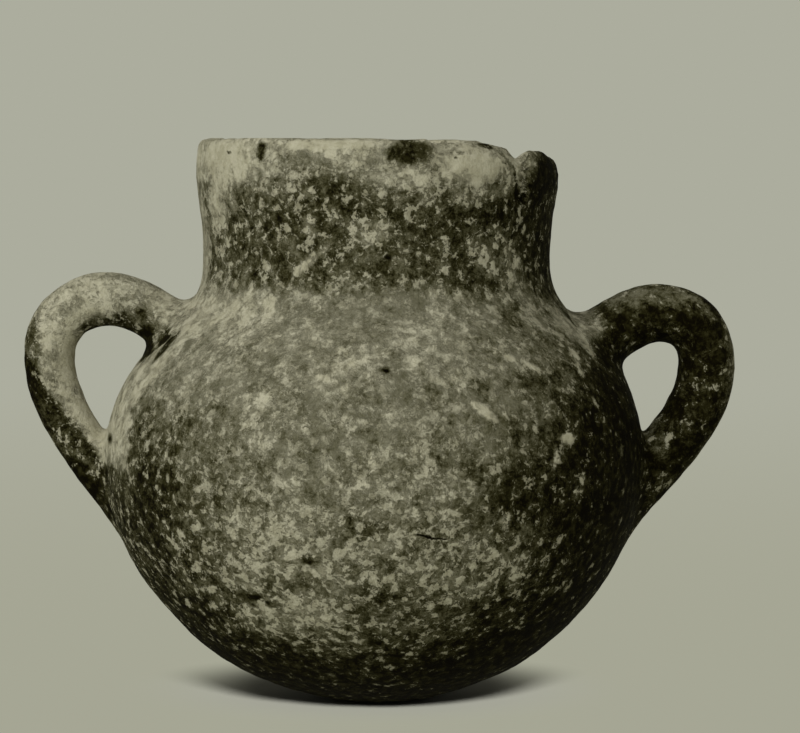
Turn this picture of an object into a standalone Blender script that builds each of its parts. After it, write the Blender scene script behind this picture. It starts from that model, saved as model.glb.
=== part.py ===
# Two-handled jar of hand-built, fired clay, as the separate pieces of clay that its maker joined.
# Z is up, X runs from handle to handle and the front is -Y, all in metres.
# The origin is the centre of the flat patch that the jar rests on.

import math

import bmesh
import bpy
from mathutils import Vector

# Body
HEIGHT = 0.175
REST_RADIUS = 0.012
BELLY_RADIUS = 0.084
BELLY_HEIGHT = 0.076
BOWL_FULLNESS = 1.92  # exponent of the bowl's curve: 2 is an ellipse, less is leaner
SHOULDER_RISE = 0.064  # half height of the ellipse that the shoulder follows
NECK_FOOT_HEIGHT = 0.1195  # where the shoulder starts to turn up into the neck
WAIST_RADIUS = 0.0539
WAIST_SHARE = 0.396  # heights on the neck are shares of the way from its foot to the top
LIP_RADIUS = 0.0563
LIP_SHARE = 0.838  # where the flared lip is widest
LIP_TAPER = 0.0010  # how far the lip draws in again up to its top
LIP_ROUNDING = 0.0020
NECK_OFFSET = 0.001  # the neck stands this far to the right of the belly

# Wall and the joints between its courses of clay, at their heights on the outside
WALL = 0.0065
FLOOR = 0.0085
BOWL_TOP = 0.040
BELLY_TOP = 0.082
SHOULDER_TOP_SHARE = 0.153
NECK_TOP_SHARE = 0.694
SCARF = 0.006  # how much higher each slanted joint lies on the inside
CLEARANCE = 0.0003

# Worn stretches of the lip: from and to, in degrees round from the front to the right, then
# how far the outer and the inner edge of the lip are down, and the width of the slopes
WORN_LIP = (
    (17.0, 46.0, 0.0040, 0.0006, 6.0),
    (46.0, 134.0, 0.0040, 0.0040, 6.0),
    (47.5, 58.5, 0.0024, 0.0024, 3.0),
    (120.0, 135.0, 0.0026, 0.0026, 3.0),
    (64.0, 116.0, 0.0020, 0.0020, 30.0),
)

# Scar of the flake that is missing from the outside of the lip
FLAKE_BEARING = 53.0  # degrees round from the front to the right
FLAKE_DEPTH = 0.014  # from the top of the lip down to its point
FLAKE_RADIUS = 0.0060  # of the scar at the top of the lip

# Luting clay round the root of each handle
LUTING_RUN = 0.0050  # how far it climbs up the handle
LUTING_SPREAD = 0.0038  # how far it spreads over the wall
LUTING_EDGE = 0.0005  # its least thickness, at both of its edges

# How far the tangents of a handle's line are lengthened for its turn, in radians squared
TURN_SOFTNESS = 10.0
SEAT_EASE = 4  # the rings of a handle slant with its seats over about a quarter of its length

# Facets
BODY_SIDES = 60
LIP_SIDES = 96
BOWL_ROWS = 8
BOWL_ROW_EASE = 2.0  # above 1 the rows crowd towards the bottom of a course
BELLY_ROWS = 5
SHOULDER_ROWS = 9
SHOULDER_ROW_EASE = 0.7  # below 1 they crowd towards its top
NECK_ROWS = 5
LIP_ROWS = 3
LIP_ROUND_STEPS = 3
FLAKE_SIDES = 10
ROLL_SIDES = 20
ROLL_RINGS = 24
SPAN_SAMPLES = 60
SEAT_RINGS = 3
FILLET_STEPS = 4
SHARP_ANGLE = 40.0  # facets that meet at more degrees than this keep their edge

# Searches for the places where a roll meets the wall
SEARCH_STEP = 0.0005
SEARCH_HALVINGS = 30
SETTLE_STEPS = 8
SLOPE_STEP = 0.00001


class Handle:
    """A bent roll of clay. Distances out are from the belly's axis, headings in degrees."""

    def __init__(self, side, top_height, top_heading, crown, reach, low_height, low_heading, radii):
        self.side = side  # -1 on the left, 1 on the right
        self.top_height = top_height
        self.top_heading = top_heading
        self.crown = crown
        self.reach = reach
        self.low_height = low_height
        self.low_heading = low_heading
        self.radii = radii  # at the top seat, the crown, the furthest reach and the low seat


LEFT_HANDLE = Handle(
    side=-1,
    top_height=0.1164,
    top_heading=36.0,
    crown=(0.0828, 0.1250),
    reach=(0.1010, 0.1076),
    low_height=0.0700,
    low_heading=-127.0,
    radii=(0.0088, 0.0083, 0.0079, 0.0086),
)
RIGHT_HANDLE = Handle(
    side=1,
    top_height=0.1122,
    top_heading=40.0,
    crown=(0.0896, 0.1206),
    reach=(0.1041, 0.1058),
    low_height=0.0698,
    low_heading=-132.0,
    radii=(0.0092, 0.0088, 0.0088, 0.0086),
)

# Colours of the fired clay from the bottom to the lip, as soot and lime leave it
BOWL_COLOUR = (0.105, 0.093, 0.062)
BELLY_COLOUR = (0.150, 0.138, 0.100)
SHOULDER_COLOUR = (0.190, 0.175, 0.130)
NECK_COLOUR = (0.060, 0.052, 0.030)
LIP_COLOUR = (0.330, 0.300, 0.215)
LEFT_HANDLE_COLOUR = (0.200, 0.185, 0.130)
RIGHT_HANDLE_COLOUR = (0.055, 0.048, 0.026)
LUTING_COLOUR = (0.120, 0.108, 0.070)
CLAY_ROUGHNESS = 0.92


def up_neck(share):
    """A height on the neck, at a share of the way from its foot to the top of the jar."""
    return NECK_FOOT_HEIGHT + share * (HEIGHT - NECK_FOOT_HEIGHT)


WAIST_HEIGHT = up_neck(WAIST_SHARE)
LIP_HEIGHT = up_neck(LIP_SHARE)
SHOULDER_TOP = up_neck(SHOULDER_TOP_SHARE)
NECK_TOP = up_neck(NECK_TOP_SHARE)


def smooth(u):
    """Eases from 0 to 1 as u goes from 0 to 1, and stays there."""
    u = min(max(u, 0.0), 1.0)
    return u * u * (3 - 2 * u)


def shoulder_radius(z):
    return BELLY_RADIUS * math.sqrt(1 - ((z - BELLY_HEIGHT) / SHOULDER_RISE) ** 2)


def bowl_depth():
    """Half height of the bowl's curve, which the resting patch cuts off just short of its pole."""
    cut = (1 - (REST_RADIUS / BELLY_RADIUS) ** BOWL_FULLNESS) ** (1 / BOWL_FULLNESS)
    return BELLY_HEIGHT / cut


def bowl_radius(z):
    down = (BELLY_HEIGHT - z) / bowl_depth()
    return BELLY_RADIUS * (1 - down**BOWL_FULLNESS) ** (1 / BOWL_FULLNESS)


def neck_foot_radius(z):
    """A cubic from the slope of the shoulder to the upright waist of the neck."""
    rise = WAIST_HEIGHT - NECK_FOOT_HEIGHT
    u = (z - NECK_FOOT_HEIGHT) / rise
    start = shoulder_radius(NECK_FOOT_HEIGHT)
    above = NECK_FOOT_HEIGHT - BELLY_HEIGHT
    slope = -((BELLY_RADIUS / SHOULDER_RISE) ** 2) * above / start
    return (
        start * (1 - smooth(u))
        + WAIST_RADIUS * smooth(u)
        + slope * rise * u * (1 - u) ** 2
    )


def outer_radius(z):
    """Radius of the outside of the jar at a height."""
    if z <= BELLY_HEIGHT:
        return bowl_radius(max(z, 0.0))
    if z <= NECK_FOOT_HEIGHT:
        return shoulder_radius(z)
    if z <= WAIST_HEIGHT:
        return neck_foot_radius(z)
    flare = smooth((z - WAIST_HEIGHT) / (LIP_HEIGHT - WAIST_HEIGHT))
    taper = max(z - LIP_HEIGHT, 0.0) / (HEIGHT - LIP_HEIGHT)
    return WAIST_RADIUS + (LIP_RADIUS - WAIST_RADIUS) * flare - LIP_TAPER * taper**2


def outer_slope(z):
    """How fast the outside widens with height."""
    low = max(z - SLOPE_STEP, 0.0)
    high = z + SLOPE_STEP
    return (outer_radius(high) - outer_radius(low)) / (high - low)


def axis_x(z):
    """Where the jar's middle lies at a height: the neck stands a little off the belly's axis."""
    return NECK_OFFSET * smooth((z - BELLY_HEIGHT) / (NECK_FOOT_HEIGHT - BELLY_HEIGHT))


def outside(z):
    return (outer_radius(z), z)


def inside(z):
    """The point of the inner face that lies behind the outside at a height."""
    slope = outer_slope(z)
    low = max(1 - z / BELLY_HEIGHT, 0.0)
    depth = (WALL + (FLOOR - WALL) * low**2) / math.hypot(1, slope)
    return (outer_radius(z) - depth, z + depth * slope)


def heights(low, high, steps, ease=1.0):
    return [low + (high - low) * (k / steps) ** ease for k in range(steps + 1)]


def joint_gap():
    """Half the upright distance between two courses that keeps the clearance across their joint."""
    return CLEARANCE / 2 * math.hypot(1, SCARF / WALL)


def course(low, high, steps, ease=1.0):
    """Profile of one ring of clay between two slanted joints."""
    low += joint_gap()
    high -= joint_gap()
    rows = heights(low, high, steps, ease)
    outer = [outside(z) for z in rows]
    inner = [inside(z + SCARF) for z in rows]
    return outer + inner[::-1]


def bowl_profile():
    """Profile of the bowl from the middle of its resting patch round to the middle of its floor."""
    high = BOWL_TOP - joint_gap()
    outer = [outside(z) for z in heights(0.0, high, BOWL_ROWS, BOWL_ROW_EASE)]
    inner = [inside(z) for z in heights(0.0, high + SCARF, BOWL_ROWS, BOWL_ROW_EASE)]
    return [(0.0, 0.0)] + outer + inner[::-1] + [(0.0, FLOOR)]


def lip_profile():
    """Profile of the topmost coil, with both edges of the lip rounded."""
    low = NECK_TOP + joint_gap()
    shoulder = HEIGHT - LIP_ROUNDING
    outer = [outside(z) for z in heights(low, shoulder, LIP_ROWS)]
    edge = outer_radius(shoulder)
    turns = [math.pi / 2 * (k + 1) / LIP_ROUND_STEPS for k in range(LIP_ROUND_STEPS)]
    outer_edge = [
        (edge - LIP_ROUNDING * (1 - math.cos(a)), shoulder + LIP_ROUNDING * math.sin(a))
        for a in turns
    ]
    inner_edge = [(2 * edge - WALL - r, z) for r, z in outer_edge]
    inner = [inside(z) for z in heights(low + SCARF, shoulder, LIP_ROWS)]
    return outer + outer_edge + inner_edge[::-1] + inner[::-1]


def turn(name, profile, sides, colour, closed=True):
    """Spins a profile round the jar's axis, then leans it as the jar leans."""
    bm = bmesh.new()
    verts = [bm.verts.new((r, 0.0, z)) for r, z in profile]
    edges = [bm.edges.new(pair) for pair in zip(verts, verts[1:])]
    if closed:
        edges.append(bm.edges.new((verts[-1], verts[0])))
    bmesh.ops.spin(
        bm,
        geom=verts + edges,
        cent=(0.0, 0.0, 0.0),
        axis=(0.0, 0.0, 1.0),
        angle=math.tau,
        steps=sides,
    )
    bmesh.ops.remove_doubles(bm, verts=bm.verts, dist=1e-6)
    for vert in bm.verts:
        vert.co.x += axis_x(vert.co.z)
    return finish(name, bm, colour)


def loft(name, rings, colour, joined=False, ends=()):
    """Skins a row of rings: its last ring joins its first, or each end closes on a point."""
    bm = bmesh.new()
    rows = [[bm.verts.new(p) for p in ring] for ring in rings]
    pairs = list(zip(rows, rows[1:])) + ([(rows[-1], rows[0])] if joined else [])
    for one, two in pairs:
        for k in range(len(one)):
            bm.faces.new((one[k - 1], one[k], two[k], two[k - 1]))
    for row, point in zip((rows[0], rows[-1]), ends):
        tip = bm.verts.new(point)
        for k in range(len(row)):
            bm.faces.new((row[k - 1], row[k], tip))
    return finish(name, bm, colour)


def finish(name, bm, colour):
    """Makes the object, with its faces out and its round faces smooth."""
    bmesh.ops.recalc_face_normals(bm, faces=bm.faces)
    mesh = bpy.data.meshes.new(name)
    bm.to_mesh(mesh)
    bm.free()
    mesh.shade_smooth()
    mesh.set_sharp_from_angle(angle=math.radians(SHARP_ANGLE))
    mesh.materials.append(clay(name, colour))
    piece = bpy.data.objects.new(name, mesh)
    bpy.context.scene.collection.objects.link(piece)
    return piece


def clay(name, colour):
    material = bpy.data.materials.new(name + "_clay")
    material.use_nodes = True
    shader = material.node_tree.nodes["Principled BSDF"]
    shader.inputs["Base Color"].default_value = (*colour, 1.0)
    shader.inputs["Roughness"].default_value = CLAY_ROUGHNESS
    shader.inputs["Metallic"].default_value = 0.0
    return material


def wear_lip(piece):
    """Lowers the top of the lip where it is worn, and each of its edges by its own amount."""
    middle = outer_radius(HEIGHT) - WALL / 2
    start = NECK_TOP + SCARF
    for vert in piece.data.vertices:
        x = vert.co.x - axis_x(vert.co.z)
        around = math.degrees(math.atan2(x, -vert.co.y)) % 360
        across = smooth((math.hypot(x, vert.co.y) - middle) / WALL + 0.5)
        share = smooth((vert.co.z - start) / (HEIGHT - start))
        for begin, end, outer, inner, slope in WORN_LIP:
            worn = smooth((around - begin) / slope + 0.5) * smooth((end - around) / slope + 0.5)
            vert.co.z -= worn * share * (inner + (outer - inner) * across)


def chip_lip(piece):
    """Cuts the scar of the missing flake, a scoop that narrows to a point down the outside."""
    bearing = math.radians(FLAKE_BEARING)
    depth = FLAKE_DEPTH + LIP_ROUNDING
    bpy.ops.mesh.primitive_cone_add(
        vertices=FLAKE_SIDES,
        radius1=0.0,
        radius2=FLAKE_RADIUS * depth / FLAKE_DEPTH,
        depth=depth,
        location=(
            LIP_RADIUS * math.sin(bearing) + NECK_OFFSET,
            -LIP_RADIUS * math.cos(bearing),
            HEIGHT + LIP_ROUNDING - depth / 2,
        ),
        rotation=(0.0, 0.0, bearing),
    )
    cutter = bpy.context.object
    cutter.name = "flake"
    cutter.hide_render = True
    cutter.display_type = "WIRE"
    cut = piece.modifiers.new("flake_scar", "BOOLEAN")
    cut.operation = "DIFFERENCE"
    cut.solver = "EXACT"
    cut.object = cutter


def off_wall(point):
    """How far a point stands off the outside of the jar, square to it."""
    out = math.hypot(point.x - axis_x(point.z), point.y) - outer_radius(point.z)
    return out / math.hypot(1, outer_slope(point.z))


def wall_normal(point):
    """The way out of the wall, square to it, beside a point."""
    out = Vector((point.x - axis_x(point.z), point.y, 0.0)).normalized()
    return (out - Vector((0.0, 0.0, outer_slope(point.z)))).normalized()


def settle(point, clear):
    """Moves a point square to the wall until it is clear of it by the distance given."""
    for _ in range(SETTLE_STEPS):
        point = point + wall_normal(point) * (clear - off_wall(point))
    return point


class Roll:
    """The roll of clay of a handle, which runs on into the wall at both ends."""

    RUN_IN = 0.026  # how far the line is carried on past the wall at each end

    def __init__(self, handle):
        self.handle = handle
        headings = (handle.top_heading, 0.0, -90.0, handle.low_heading)
        places = (
            self.seat(handle.top_height),
            handle.crown,
            handle.reach,
            self.seat(handle.low_height),
        )
        self.points = []
        self.radii = []
        knots = list(zip(places, headings, handle.radii))
        for first, last in zip(knots, knots[1:]):
            self.add_span(first, last)
        self.points.append(Vector(places[-1]))
        self.radii.append(handle.radii[-1])
        self.points.insert(0, self.points[0] - self.RUN_IN * self.way(handle.top_heading))
        self.radii.insert(0, self.radii[0])
        self.points.append(self.points[-1] + self.RUN_IN * self.way(handle.low_heading))
        self.radii.append(self.radii[-1])
        self.along = [0.0]
        for a, b in zip(self.points, self.points[1:]):
            self.along.append(self.along[-1] + (b - a).length)
        self.length = self.along[-1]

    @staticmethod
    def way(heading):
        angle = math.radians(heading)
        return Vector((math.cos(angle), math.sin(angle)))

    def seat(self, height):
        """Distance out and height of the middle of a seat on the wall."""
        return (outer_radius(height) + self.handle.side * axis_x(height), height)

    def add_span(self, first, last):
        """Points of one cubic from knot to knot, with the roll's radius eased between them."""
        (start, heading_in, radius_in), (stop, heading_out, radius_out) = first, last
        start = Vector(start)
        stop = Vector(stop)
        # A cubic needs longer tangents the more it turns
        turned = math.radians(abs(heading_out - heading_in))
        pull = (stop - start).length * (1 + turned**2 / TURN_SOFTNESS)
        for k in range(SPAN_SAMPLES):
            u = k / SPAN_SAMPLES
            place = start * (1 - smooth(u)) + stop * smooth(u)
            place += pull * u * (1 - u) ** 2 * self.way(heading_in)
            place -= pull * u**2 * (1 - u) * self.way(heading_out)
            self.points.append(place)
            self.radii.append(radius_in + (radius_out - radius_in) * smooth(u))

    def line_at(self, s):
        """Place, heading and radius of the line at a length along it."""
        low = 0
        high = len(self.along) - 1
        while high - low > 1:
            middle = (low + high) // 2
            if self.along[middle] <= s:
                low = middle
            else:
                high = middle
        share = (s - self.along[low]) / (self.along[high] - self.along[low])
        place = self.points[low].lerp(self.points[high], share)
        before = self.points[max(low - 1, 0)]
        after = self.points[min(high + 1, len(self.points) - 1)]
        here = self.points[high] - self.points[low]
        back = self.points[low] - before if low else here
        on = after - self.points[high] if high < len(self.points) - 1 else here
        heading = (back + here).normalized().lerp((here + on).normalized(), share)
        radius = self.radii[low] + (self.radii[high] - self.radii[low]) * share
        return place, heading.normalized(), radius

    def skin(self, s, around, grow=0.0, share=1.0):
        """A point on the roll, or as far off it as grow says, or a share of the way out to it."""
        place, heading, radius = self.line_at(s)
        reach = (radius + grow) * share
        out = place.x - heading.y * reach * math.cos(around)
        up = place.y + heading.x * reach * math.cos(around)
        return Vector((self.handle.side * out, reach * math.sin(around), up))

    def meets_wall(self, low_end, around, clear, grow=0.0, share=1.0):
        """Length along the line at which the roll's skin comes within clear of the wall."""
        step = SEARCH_STEP if low_end else -SEARCH_STEP
        s = self.length / 2
        while off_wall(self.skin(s, around, grow, share)) > clear:
            s += step
        near, far = s - step, s
        for _ in range(SEARCH_HALVINGS):
            middle = (near + far) / 2
            if off_wall(self.skin(middle, around, grow, share)) > clear:
                near = middle
            else:
                far = middle
        return near

    def seat_ring(self, low_end, clear, share):
        """A ring of points where a thinner roll on the same line comes to the wall."""
        ring = []
        for k in range(ROLL_SIDES):
            around = math.tau * k / ROLL_SIDES
            s = self.meets_wall(low_end, around, clear, share=share)
            ring.append(self.skin(s, around, share=share))
        return ring


def make_handle(name, roll, colour):
    """Runs the roll from wall to wall, and shapes both ends to the wall that they sit on."""
    arounds = [math.tau * k / ROLL_SIDES for k in range(ROLL_SIDES)]
    starts = [roll.meets_wall(False, a, CLEARANCE) for a in arounds]
    stops = [roll.meets_wall(True, a, CLEARANCE) for a in arounds]
    start = sum(starts) / ROLL_SIDES
    stop = sum(stops) / ROLL_SIDES
    shares = [k / SEAT_RINGS for k in range(1, SEAT_RINGS)]
    rings = [roll.seat_ring(False, CLEARANCE, share) for share in shares]
    for k in range(ROLL_RINGS + 1):
        u = k / ROLL_RINGS
        ring = []
        for around, first, last in zip(arounds, starts, stops):
            # Only the rings near a seat slant with it
            s = start + (stop - start) * u
            s += (first - start) * (1 - u) ** SEAT_EASE + (last - stop) * u**SEAT_EASE
            ring.append(roll.skin(s, around))
        rings.append(ring)
    rings += [roll.seat_ring(True, CLEARANCE, share) for share in reversed(shares)]
    tips = []
    for low_end in (False, True):
        middle = roll.meets_wall(low_end, 0.0, CLEARANCE, share=0.0)
        tips.append(roll.skin(middle, 0.0, share=0.0))
    return loft(name, rings, colour, ends=tips)


def make_luting(name, roll, low_end, colour):
    """A ring of clay smeared into the corner between the roll and the wall."""
    back = -1 if low_end else 1
    over_edge = CLEARANCE + LUTING_EDGE
    middle = roll.skin(roll.meets_wall(low_end, 0.0, CLEARANCE, share=0.0), 0.0, share=0.0)
    lines = []
    for k in range(ROLL_SIDES):
        around = math.tau * k / ROLL_SIDES
        meets = roll.meets_wall(low_end, around, CLEARANCE, grow=CLEARANCE)
        crest = meets + back * LUTING_RUN
        crest_in = roll.skin(crest, around, CLEARANCE)
        crest_out = roll.skin(crest, around, over_edge)
        corner = roll.skin(meets, around, CLEARANCE)
        crease = roll.skin(meets, around, over_edge)
        # The foot spreads over the wall, away from the middle of the seat
        normal = wall_normal(corner)
        away = corner - middle
        away = (away - normal * away.dot(normal)).normalized()
        foot_in = settle(corner + away * LUTING_SPREAD, CLEARANCE)
        foot_out = settle(corner + away * LUTING_SPREAD, over_edge)
        halfway = settle((corner + foot_in) / 2, CLEARANCE)
        line = [crest_in, crest_out]
        for step in range(1, FILLET_STEPS):
            u = step / FILLET_STEPS
            line.append(crest_out * (1 - u) ** 2 + crease * 2 * u * (1 - u) + foot_out * u**2)
        lines.append(line + [foot_out, foot_in, halfway, corner])
    return loft(name, list(zip(*lines)), colour, joined=True)


def build_body():
    turn("base_bowl", bowl_profile(), BODY_SIDES, BOWL_COLOUR, closed=False)
    turn("belly_course", course(BOWL_TOP, BELLY_TOP, BELLY_ROWS), BODY_SIDES, BELLY_COLOUR)
    shoulder = course(BELLY_TOP, SHOULDER_TOP, SHOULDER_ROWS, SHOULDER_ROW_EASE)
    turn("shoulder_course", shoulder, BODY_SIDES, SHOULDER_COLOUR)
    turn("neck_course", course(SHOULDER_TOP, NECK_TOP, NECK_ROWS), BODY_SIDES, NECK_COLOUR)
    lip = turn("lip_coil", lip_profile(), LIP_SIDES, LIP_COLOUR)
    wear_lip(lip)
    chip_lip(lip)


def build_handle(side_name, handle, colour):
    roll = Roll(handle)
    make_handle("handle_" + side_name, roll, colour)
    make_luting("luting_top_" + side_name, roll, False, LUTING_COLOUR)
    make_luting("luting_low_" + side_name, roll, True, LUTING_COLOUR)


for old in list(bpy.data.objects):
    bpy.data.objects.remove(old)
build_body()
build_handle("left", LEFT_HANDLE, LEFT_HANDLE_COLOUR)
build_handle("right", RIGHT_HANDLE, RIGHT_HANDLE_COLOUR)
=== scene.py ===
import math

import bmesh
import bpy
import numpy as np
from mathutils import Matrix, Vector


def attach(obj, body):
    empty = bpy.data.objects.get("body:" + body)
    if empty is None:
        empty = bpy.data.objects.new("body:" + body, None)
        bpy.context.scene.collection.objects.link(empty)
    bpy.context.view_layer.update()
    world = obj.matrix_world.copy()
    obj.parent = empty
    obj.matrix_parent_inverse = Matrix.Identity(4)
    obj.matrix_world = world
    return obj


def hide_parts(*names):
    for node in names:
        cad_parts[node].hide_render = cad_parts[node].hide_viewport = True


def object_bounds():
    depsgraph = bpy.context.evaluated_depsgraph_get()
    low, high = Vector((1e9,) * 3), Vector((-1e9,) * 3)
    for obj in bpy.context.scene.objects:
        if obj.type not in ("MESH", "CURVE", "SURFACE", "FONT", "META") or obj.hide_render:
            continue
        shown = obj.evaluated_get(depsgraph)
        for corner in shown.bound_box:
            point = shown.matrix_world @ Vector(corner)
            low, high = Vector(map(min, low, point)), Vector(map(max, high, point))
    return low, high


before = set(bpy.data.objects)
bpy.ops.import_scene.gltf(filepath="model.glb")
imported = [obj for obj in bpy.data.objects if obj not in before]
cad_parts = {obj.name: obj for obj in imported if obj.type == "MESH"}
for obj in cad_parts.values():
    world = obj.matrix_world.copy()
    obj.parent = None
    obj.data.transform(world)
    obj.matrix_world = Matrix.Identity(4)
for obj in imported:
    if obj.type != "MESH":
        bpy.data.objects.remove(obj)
cad_low, cad_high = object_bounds()

# The wall of the jar: five rings of clay set one on another and smoothed together by hand.
# It is drawn out here as one skin from the foot up the outside, over the lip and down the inside,
# and only then parted at its joints, so that the rings meet as they do once they are fired.
HEIGHT = 0.175
REST_RADIUS = 0.012
BELLY_RADIUS = 0.084
BELLY_HEIGHT = 0.076
BOWL_FULLNESS = 1.92
# Low on the bowl the wall is a little fuller, which comes and goes over two stretches of height
HEEL = 0.0013
HEEL_FOOT = 0.003
HEEL_RISE = 0.010
HEEL_TOP = 0.027
HEEL_FALL = 0.011
SHOULDER_RISE = 0.064
NECK_FOOT_HEIGHT = 0.1195
WAIST_RADIUS = 0.0539
WAIST_HEIGHT = 0.1415
LIP_RADIUS = 0.0563
LIP_HEIGHT = 0.166
LIP_TAPER = 0.0010
LIP_ROUNDING = 0.0022
NECK_OFFSET = 0.001
BOWL_OFFSET = 0.0009
BOWL_OFFSET_END = 1.2 * BELLY_HEIGHT
WALL = 0.0065
FLOOR = 0.0085
SCARF = 0.006
JOINTS = (0.0, 0.040, 0.082, 0.128, 0.158)
COURSES = ("base_bowl", "belly_course", "shoulder_course", "neck_course", "lip_coil")
SLOTS = ("bowl_clay", "belly_clay", "shoulder_clay", "neck_clay", "lip_clay")
OUTER_ROWS = (9, 5, 8, 6, 4)
INNER_ROWS = (5, 3, 4, 3, 2)
ROUND_ROWS = 3
WALL_SIDES = 72
FINE_STEPS = 400
TINY = 0.00001


def smooth(u):
    """0 up to 0, 1 from 1 on, and eased between them."""
    u = np.clip(u, 0.0, 1.0)
    return u * u * (3 - 2 * u)


def outer_radius(z):
    """Radius of the outside of the jar at a height."""
    if z <= BELLY_HEIGHT:
        cut = (1 - (REST_RADIUS / BELLY_RADIUS) ** BOWL_FULLNESS) ** (1 / BOWL_FULLNESS)
        down = (BELLY_HEIGHT - max(z, 0.0)) / (BELLY_HEIGHT / cut)
        heel = HEEL * smooth((z - HEEL_FOOT) / HEEL_RISE) * smooth((HEEL_TOP - z) / HEEL_FALL)
        return BELLY_RADIUS * (1 - down**BOWL_FULLNESS) ** (1 / BOWL_FULLNESS) + heel
    above = min(z, NECK_FOOT_HEIGHT) - BELLY_HEIGHT
    shoulder = BELLY_RADIUS * math.sqrt(1 - (above / SHOULDER_RISE) ** 2)
    if z <= NECK_FOOT_HEIGHT:
        return shoulder
    if z <= WAIST_HEIGHT:
        rise = WAIST_HEIGHT - NECK_FOOT_HEIGHT
        u = (z - NECK_FOOT_HEIGHT) / rise
        slope = -((BELLY_RADIUS / SHOULDER_RISE) ** 2) * above / shoulder
        return (
            shoulder * (1 - smooth(u)) + WAIST_RADIUS * smooth(u) + slope * rise * u * (1 - u) ** 2
        )
    flare = smooth((z - WAIST_HEIGHT) / (LIP_HEIGHT - WAIST_HEIGHT))
    taper = max(z - LIP_HEIGHT, 0.0) / (HEIGHT - LIP_HEIGHT)
    return WAIST_RADIUS + (LIP_RADIUS - WAIST_RADIUS) * flare - LIP_TAPER * taper**2


def outer_slope(z):
    """How fast the outside gets wider with height, at a height."""
    low = max(z - TINY, 0.0)
    return (outer_radius(z + TINY) - outer_radius(low)) / (z + TINY - low)


def axis_x(z):
    """Where the jar's middle lies at a height: bowl and neck stand a little off the belly's."""
    neck = NECK_OFFSET * smooth((z - BELLY_HEIGHT) / (NECK_FOOT_HEIGHT - BELLY_HEIGHT))
    return neck + BOWL_OFFSET * smooth((BOWL_OFFSET_END - z) / BELLY_HEIGHT)


def inside(z):
    """The point of the inner face that lies behind the outside at a height."""
    slope = outer_slope(z)
    low = max(1 - z / BELLY_HEIGHT, 0.0)
    depth = (WALL + (FLOOR - WALL) * low**2) / math.hypot(1, slope)
    return outer_radius(z) - depth, z + depth * slope


def along(curve, low, high, rows):
    """Evenly spaced points on a curve from one height to another, without the first."""
    fine = [curve(low + (high - low) * k / FINE_STEPS) for k in range(FINE_STEPS + 1)]
    steps = [math.dist(a, b) for a, b in zip(fine, fine[1:])]
    gone = np.concatenate([[0.0], np.cumsum(steps)])
    wanted = np.linspace(0.0, gone[-1], rows + 1)[1:]
    return [
        (np.interp(s, gone, [p[0] for p in fine]), np.interp(s, gone, [p[1] for p in fine]))
        for s in wanted
    ]


class Clay:
    """A piece of clay that is drawn out ring by ring from a flat round of it."""

    def __init__(self, name, points):
        bpy.ops.object.select_all(action="DESELECT")
        bpy.ops.mesh.primitive_circle_add(
            vertices=len(points), radius=REST_RADIUS, fill_type="NGON"
        )
        self.piece = bpy.context.object
        self.piece.name = name
        self.piece.data.name = name
        bpy.ops.object.mode_set(mode="EDIT")
        bpy.ops.mesh.select_mode(type="EDGE")
        self.edge = list(range(len(points)))
        self.shape(points)

    def shape(self, points):
        """Puts the points of the open edge in place."""
        bm = bmesh.from_edit_mesh(self.piece.data)
        bm.verts.ensure_lookup_table()
        for index, point in zip(self.edge, points):
            bm.verts[index].co = point
        bmesh.update_edit_mesh(self.piece.data)

    def draw_out(self, points, part=0):
        """Extrudes the open edge to a new ring, whose faces belong to a part of the piece."""
        bpy.ops.mesh.extrude_edges_move()
        bm = bmesh.from_edit_mesh(self.piece.data)
        bm.verts.ensure_lookup_table()
        old = [bm.verts[index] for index in self.edge]
        new = [
            next(e.other_vert(v) for e in v.link_edges if e.other_vert(v).select) for v in old
        ]
        self.edge = [v.index for v in new]
        for vert in new:
            for face in vert.link_faces:
                face.material_index = part
        self.shape(points)

    def close(self):
        """Fills the last ring, and leaves edit mode with all faces out."""
        bpy.ops.mesh.edge_face_add()
        bpy.ops.mesh.select_all(action="SELECT")
        bpy.ops.mesh.normals_make_consistent(inside=False)
        bpy.ops.object.mode_set(mode="OBJECT")
        return self.piece


def ring(radius, height):
    """Points round the jar's middle at a height, from the front on to the right."""
    return [
        (
            radius * math.sin(math.tau * k / WALL_SIDES) + axis_x(height),
            -radius * math.cos(math.tau * k / WALL_SIDES),
            height,
        )
        for k in range(WALL_SIDES)
    ]


def only(piece):
    """Leaves one piece selected and active."""
    bpy.ops.object.select_all(action="DESELECT")
    piece.select_set(True)
    bpy.context.view_layer.objects.active = piece


def apply(piece, kind, **settings):
    """Adds a modifier and applies it."""
    modifier = piece.modifiers.new(kind, kind)
    for name, value in settings.items():
        setattr(modifier, name, value)
    only(piece)
    bpy.ops.object.modifier_apply(modifier=modifier.name)


def points_of(piece):
    co = np.zeros(len(piece.data.vertices) * 3)
    piece.data.vertices.foreach_get("co", co)
    return co.reshape(-1, 3)


def put_points(piece, co):
    piece.data.vertices.foreach_set("co", co.ravel())
    piece.data.update()


# Lumps that fingers, scraping and lime leave on clay: the size, layers of detail and height of each
UNEVENNESS = (
    ("hand_press", 0.050, 1, 0.0016),
    ("paddle_marks", 0.014, 2, 0.0007),
    ("grain", 0.0035, 2, 0.00025),
)


def roughen(piece):
    """Lifts and sinks the skin of a piece by the lumps that clay has when it is worked by hand."""
    for name, size, depth, height in UNEVENNESS:
        texture = bpy.data.textures.get(name) or bpy.data.textures.new(name, type="CLOUDS")
        texture.noise_scale = size
        texture.noise_depth = depth
        apply(piece, "DISPLACE", texture=texture, strength=height, texture_coords="LOCAL")


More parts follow.
